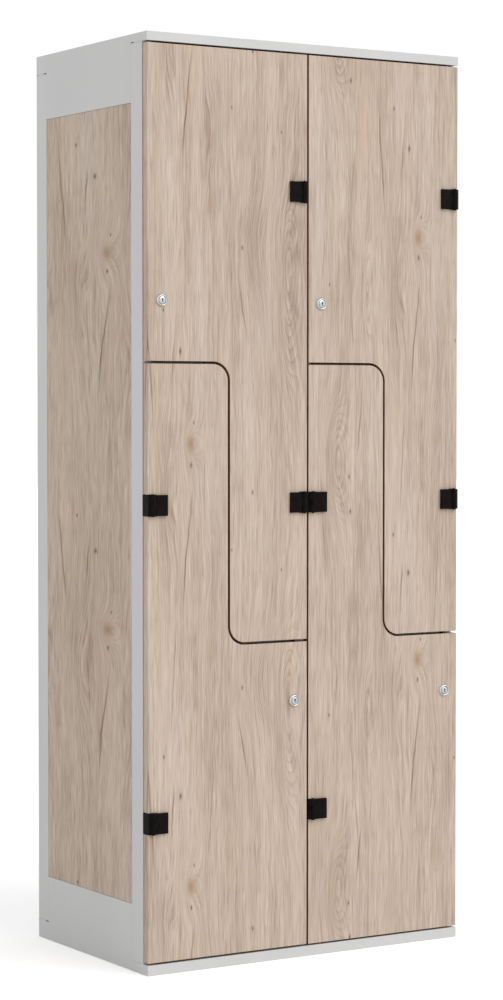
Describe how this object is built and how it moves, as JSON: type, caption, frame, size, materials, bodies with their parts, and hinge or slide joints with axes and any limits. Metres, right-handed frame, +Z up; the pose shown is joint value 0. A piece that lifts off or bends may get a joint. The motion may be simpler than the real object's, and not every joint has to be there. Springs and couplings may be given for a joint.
{
  "type": "coin operated locker",
  "caption": "Free-standing steel-framed coin operated locker with interlocking Z-shaped wood-laminate doors, block hinges and key cylinders.",
  "frame": {"origin": "middle of the bounding box at floor level", "axes": "+Z up, -Y out of the door fronts, +X to the right seen from the front"},
  "size_m": [0.8, 0.511, 1.98],
  "materials": {
    "frame_steel": "light grey satin powder coat",
    "oak_laminate": "pale greige oak laminate, matt, vertical grain",
    "hinge_black": "black satin coat",
    "pin_steel": "blackened steel",
    "nickel": "bright nickel plate",
    "lock_zinc": "zinc plate",
    "case_plastic": "dark grey moulded plastic"
  },
  "bodies": {
    "cabinet": {"top_cap": "frame_steel", "base_tray": "frame_steel", "front_left_post": "frame_steel", "front_right_post": "frame_steel", "rear_left_post": "frame_steel", "rear_right_post": "frame_steel", "centre_post": "frame_steel", "left_infill": "oak_laminate", "right_infill": "oak_laminate", "back_panel": "frame_steel", "centre_partition": "frame_steel", "left_divider": "frame_steel", "right_divider": "frame_steel", "centre_mid_hinge_block": "hinge_black", "upper_left_mid_hinge_pin": "pin_steel", "upper_left_far_hinge_pin": "pin_steel", "upper_left_far_hinge_block": "hinge_black", "upper_left_coat_hook": "lock_zinc", "lower_left_mid_hinge_pin": "pin_steel", "lower_left_mid_hinge_block": "hinge_black", "lower_left_far_hinge_pin": "pin_steel", "lower_left_far_hinge_block": "hinge_black", "lower_left_coat_hook": "lock_zinc", "upper_right_mid_hinge_pin": "pin_steel", "upper_right_mid_hinge_block": "hinge_black", "upper_right_far_hinge_pin": "pin_steel", "upper_right_far_hinge_block": "hinge_black", "upper_right_coat_hook": "lock_zinc", "lower_right_mid_hinge_pin": "pin_steel", "lower_right_far_hinge_pin": "pin_steel", "lower_right_far_hinge_block": "hinge_black", "lower_right_coat_hook": "lock_zinc"},
    "upper_left_door": {"upper_left_door": "oak_laminate", "upper_left_mid_hinge_leaf": "hinge_black", "upper_left_far_hinge_leaf": "hinge_black", "upper_left_lock_barrel": "nickel", "upper_left_coin_lock_case": "case_plastic"},
    "upper_left_key_plug": {"upper_left_lock_plug": "nickel", "upper_left_lock_cam": "lock_zinc"},
    "lower_left_door": {"lower_left_door": "oak_laminate", "lower_left_mid_hinge_leaf": "hinge_black", "lower_left_far_hinge_leaf": "hinge_black", "lower_left_lock_barrel": "nickel", "lower_left_coin_lock_case": "case_plastic"},
    "lower_left_key_plug": {"lower_left_lock_plug": "nickel", "lower_left_lock_cam": "lock_zinc"},
    "upper_right_door": {"upper_right_door": "oak_laminate", "upper_right_mid_hinge_leaf": "hinge_black", "upper_right_far_hinge_leaf": "hinge_black", "upper_right_lock_barrel": "nickel", "upper_right_coin_lock_case": "case_plastic"},
    "upper_right_key_plug": {"upper_right_lock_plug": "nickel", "upper_right_lock_cam": "lock_zinc"},
    "lower_right_door": {"lower_right_door": "oak_laminate", "lower_right_mid_hinge_leaf": "hinge_black", "lower_right_far_hinge_leaf": "hinge_black", "lower_right_lock_barrel": "nickel", "lower_right_coin_lock_case": "case_plastic"},
    "lower_right_key_plug": {"lower_right_lock_plug": "nickel", "lower_right_lock_cam": "lock_zinc"}
  },
  "joints": [
    {"name": "upper_left_door_hinge", "type": "hinge", "parent": "cabinet", "child": "upper_left_door", "pos_m": [-0.011, -0.2485, 0.9915], "axis": [0, 0, 1], "range_deg": [0, 90]},
    {"name": "upper_left_key_turn", "type": "hinge", "parent": "upper_left_door", "child": "upper_left_key_plug", "pos_m": [-0.365, -0.2355, 1.4215], "axis": [0, 1, 0], "range_deg": [0, 90]},
    {"name": "lower_left_door_hinge", "type": "hinge", "parent": "cabinet", "child": "lower_left_door", "pos_m": [-0.389, -0.2485, 0.9915], "axis": [0, 0, -1], "range_deg": [0, 110]},
    {"name": "lower_left_key_turn", "type": "hinge", "parent": "lower_left_door", "child": "lower_left_key_plug", "pos_m": [-0.035, -0.2355, 0.5615], "axis": [0, 1, 0], "range_deg": [0, 90]},
    {"name": "upper_right_door_hinge", "type": "hinge", "parent": "cabinet", "child": "upper_right_door", "pos_m": [0.389, -0.2485, 0.9915], "axis": [0, 0, 1], "range_deg": [0, 110]},
    {"name": "upper_right_key_turn", "type": "hinge", "parent": "upper_right_door", "child": "upper_right_key_plug", "pos_m": [0.035, -0.2355, 1.4215], "axis": [0, 1, 0], "range_deg": [0, 90]},
    {"name": "lower_right_door_hinge", "type": "hinge", "parent": "cabinet", "child": "lower_right_door", "pos_m": [0.011, -0.2485, 0.9915], "axis": [0, 0, -1], "range_deg": [0, 90]},
    {"name": "lower_right_key_turn", "type": "hinge", "parent": "lower_right_door", "child": "lower_right_key_plug", "pos_m": [0.365, -0.2355, 0.5615], "axis": [0, 1, 0], "range_deg": [0, 90]}
  ]
}
